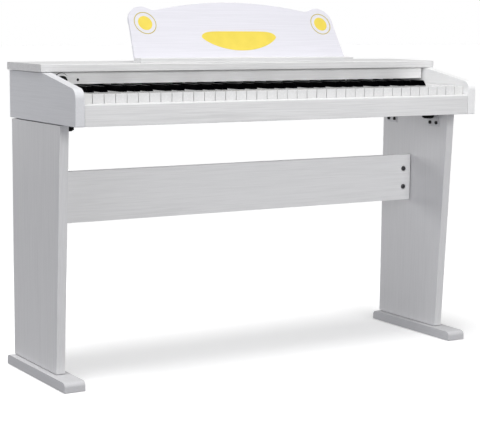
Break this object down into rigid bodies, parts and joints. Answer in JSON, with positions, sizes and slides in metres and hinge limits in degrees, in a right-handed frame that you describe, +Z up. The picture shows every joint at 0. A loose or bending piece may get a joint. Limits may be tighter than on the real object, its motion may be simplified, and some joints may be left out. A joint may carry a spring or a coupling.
{
  "type": "digital piano keyboard on a stand",
  "caption": "Child's full-size-key digital keyboard in a white wood-grain case, on a panel stand with base runners and a leaning music rest.",
  "frame": {"origin": "on the floor, under the middle of the whole instrument's outline", "axes": "+X towards the high notes (the player's right), +Y away from the player, +Z up"},
  "size_m": [0.9556, 0.311, 0.7266],
  "materials": {
    "white_laminate": "white open-grain laminate on board, satin",
    "white_key_plastic": "glossy moulded",
    "black_key_plastic": "glossy moulded",
    "end_block_plastic": "semi-gloss moulded",
    "white_plastic": "fine-textured moulded",
    "black_plastic": "fine-textured moulded",
    "black_gloss_plastic": "polished",
    "frame_plastic": "moulded",
    "glide_plastic": "moulded",
    "felt": "pressed wool felt",
    "circuit_board": "solder-masked glass fibre",
    "rubber": "silicone rubber",
    "steel": "zinc-plated",
    "zinc": "die-cast, bright",
    "speaker_metal": "black stamped steel",
    "speaker_paper": "pressed paper",
    "white_metal": "powder-coated",
    "black_metal": "black oxide",
    "pin_wood": "plain beech"
  },
  "bodies": {
    "case": {"side_panel_left": "white_laminate", "side_panel_right": "white_laminate", "lid": "white_laminate", "front_rail": "white_laminate", "fascia": "white_laminate", "key_bed": "white_laminate", "back_panel": "white_laminate", "end_blocks": "end_block_plastic", "corner_blocks": "white_plastic", "case_screws": "steel", "key_frame": "frame_plastic", "key_felts": "felt", "contact_boards": "circuit_board", "contact_strips": "rubber", "main_board": "circuit_board", "control_board": "circuit_board", "pot_body": "steel", "status_lens": "black_gloss_plastic", "speakers": "speaker_metal", "speaker_cones": "speaker_paper", "speaker_grilles": "black_plastic", "jack_plate": "black_plastic", "jacks": "black_plastic", "music_board": "white_laminate", "music_ledge": "white_laminate", "music_rest_pins": "pin_wood", "leg_left": "white_laminate", "leg_right": "white_laminate", "base_left": "white_laminate", "base_right": "white_laminate", "modesty_panel": "white_laminate", "brackets": "white_metal", "bracket_screws": "black_metal", "bracket_knobs": "black_plastic", "panel_cams": "zinc", "stand_screws": "steel", "base_glides": "glide_plastic"},
    "volume_control": {"pot_shaft": "steel", "volume_knob": "black_plastic", "knob_skirt": "white_plastic"},
    "white_keys_octave_2_body": {"white_keys_octave_2": "white_key_plastic"},
    "black_keys_octave_2_body": {"black_keys_octave_2": "black_key_plastic"},
    "white_keys_octave_3_body": {"white_keys_octave_3": "white_key_plastic"},
    "black_keys_octave_3_body": {"black_keys_octave_3": "black_key_plastic"},
    "key_c4_body": {"key_c4": "white_key_plastic"},
    "key_c_sharp_4_body": {"key_c_sharp_4": "black_key_plastic"},
    "key_d4_body": {"key_d4": "white_key_plastic"},
    "key_d_sharp_4_body": {"key_d_sharp_4": "black_key_plastic"},
    "key_e4_body": {"key_e4": "white_key_plastic"},
    "key_f4_body": {"key_f4": "white_key_plastic"},
    "key_f_sharp_4_body": {"key_f_sharp_4": "black_key_plastic"},
    "key_g4_body": {"key_g4": "white_key_plastic"},
    "key_g_sharp_4_body": {"key_g_sharp_4": "black_key_plastic"},
    "key_a4_body": {"key_a4": "white_key_plastic"},
    "key_a_sharp_4_body": {"key_a_sharp_4": "black_key_plastic"},
    "key_b4_body": {"key_b4": "white_key_plastic"},
    "white_keys_octave_5_body": {"white_keys_octave_5": "white_key_plastic"},
    "black_keys_octave_5_body": {"black_keys_octave_5": "black_key_plastic"},
    "white_keys_octave_6_body": {"white_keys_octave_6": "white_key_plastic"},
    "black_keys_octave_6_body": {"black_keys_octave_6": "black_key_plastic"}
  },
  "joints": [
    {"name": "volume_turn", "type": "hinge", "parent": "case", "child": "volume_control", "pos_m": [-0.4215, -0.0055, 0.5745], "axis": [0, 1, 0], "range_deg": [-150, 150]},
    {"name": "white_press_octave_2", "type": "hinge", "parent": "case", "child": "white_keys_octave_2_body", "pos_m": [0, 0.0925, 0.54], "axis": [1, 0, 0], "range_deg": [0, 2.5], "stiffness_Nm_per_rad": 6.3, "springref_deg": -4.01},
    {"name": "black_press_octave_2", "type": "hinge", "parent": "case", "child": "black_keys_octave_2_body", "pos_m": [0, 0.0925, 0.54], "axis": [1, 0, 0], "range_deg": [0, 2.5], "stiffness_Nm_per_rad": 4.5, "springref_deg": -4.01},
    {"name": "white_press_octave_3", "type": "hinge", "parent": "case", "child": "white_keys_octave_3_body", "pos_m": [0, 0.0925, 0.54], "axis": [1, 0, 0], "range_deg": [0, 2.5], "stiffness_Nm_per_rad": 6.3, "springref_deg": -4.01},
    {"name": "black_press_octave_3", "type": "hinge", "parent": "case", "child": "black_keys_octave_3_body", "pos_m": [0, 0.0925, 0.54], "axis": [1, 0, 0], "range_deg": [0, 2.5], "stiffness_Nm_per_rad": 4.5, "springref_deg": -4.01},
    {"name": "press_c4", "type": "hinge", "parent": "case", "child": "key_c4_body", "pos_m": [0, 0.0925, 0.54], "axis": [1, 0, 0], "range_deg": [0, 2.5], "stiffness_Nm_per_rad": 0.9, "springref_deg": -4.01},
    {"name": "press_c_sharp_4", "type": "hinge", "parent": "case", "child": "key_c_sharp_4_body", "pos_m": [0, 0.0925, 0.54], "axis": [1, 0, 0], "range_deg": [0, 2.5], "stiffness_Nm_per_rad": 0.9, "springref_deg": -4.01},
    {"name": "press_d4", "type": "hinge", "parent": "case", "child": "key_d4_body", "pos_m": [0, 0.0925, 0.54], "axis": [1, 0, 0], "range_deg": [0, 2.5], "stiffness_Nm_per_rad": 0.9, "springref_deg": -4.01},
    {"name": "press_d_sharp_4", "type": "hinge", "parent": "case", "child": "key_d_sharp_4_body", "pos_m": [0, 0.0925, 0.54], "axis": [1, 0, 0], "range_deg": [0, 2.5], "stiffness_Nm_per_rad": 0.9, "springref_deg": -4.01},
    {"name": "press_e4", "type": "hinge", "parent": "case", "child": "key_e4_body", "pos_m": [0, 0.0925, 0.54], "axis": [1, 0, 0], "range_deg": [0, 2.5], "stiffness_Nm_per_rad": 0.9, "springref_deg": -4.01},
    {"name": "press_f4", "type": "hinge", "parent": "case", "child": "key_f4_body", "pos_m": [0, 0.0925, 0.54], "axis": [1, 0, 0], "range_deg": [0, 2.5], "stiffness_Nm_per_rad": 0.9, "springref_deg": -4.01},
    {"name": "press_f_sharp_4", "type": "hinge", "parent": "case", "child": "key_f_sharp_4_body", "pos_m": [0, 0.0925, 0.54], "axis": [1, 0, 0], "range_deg": [0, 2.5], "stiffness_Nm_per_rad": 0.9, "springref_deg": -4.01},
    {"name": "press_g4", "type": "hinge", "parent": "case", "child": "key_g4_body", "pos_m": [0, 0.0925, 0.54], "axis": [1, 0, 0], "range_deg": [0, 2.5], "stiffness_Nm_per_rad": 0.9, "springref_deg": -4.01},
    {"name": "press_g_sharp_4", "type": "hinge", "parent": "case", "child": "key_g_sharp_4_body", "pos_m": [0, 0.0925, 0.54], "axis": [1, 0, 0], "range_deg": [0, 2.5], "stiffness_Nm_per_rad": 0.9, "springref_deg": -4.01},
    {"name": "press_a4", "type": "hinge", "parent": "case", "child": "key_a4_body", "pos_m": [0, 0.0925, 0.54], "axis": [1, 0, 0], "range_deg": [0, 2.5], "stiffness_Nm_per_rad": 0.9, "springref_deg": -4.01},
    {"name": "press_a_sharp_4", "type": "hinge", "parent": "case", "child": "key_a_sharp_4_body", "pos_m": [0, 0.0925, 0.54], "axis": [1, 0, 0], "range_deg": [0, 2.5], "stiffness_Nm_per_rad": 0.9, "springref_deg": -4.01},
    {"name": "press_b4", "type": "hinge", "parent": "case", "child": "key_b4_body", "pos_m": [0, 0.0925, 0.54], "axis": [1, 0, 0], "range_deg": [0, 2.5], "stiffness_Nm_per_rad": 0.9, "springref_deg": -4.01},
    {"name": "white_press_octave_5", "type": "hinge", "parent": "case", "child": "white_keys_octave_5_body", "pos_m": [0, 0.0925, 0.54], "axis": [1, 0, 0], "range_deg": [0, 2.5], "stiffness_Nm_per_rad": 6.3, "springref_deg": -4.01},
    {"name": "black_press_octave_5", "type": "hinge", "parent": "case", "child": "black_keys_octave_5_body", "pos_m": [0, 0.0925, 0.54], "axis": [1, 0, 0], "range_deg": [0, 2.5], "stiffness_Nm_per_rad": 4.5, "springref_deg": -4.01},
    {"name": "white_press_octave_6", "type": "hinge", "parent": "case", "child": "white_keys_octave_6_body", "pos_m": [0, 0.0925, 0.54], "axis": [1, 0, 0], "range_deg": [0, 2.5], "stiffness_Nm_per_rad": 7.2, "springref_deg": -4.01},
    {"name": "black_press_octave_6", "type": "hinge", "parent": "case", "child": "black_keys_octave_6_body", "pos_m": [0, 0.0925, 0.54], "axis": [1, 0, 0], "range_deg": [0, 2.5], "stiffness_Nm_per_rad": 4.5, "springref_deg": -4.01}
  ]
}
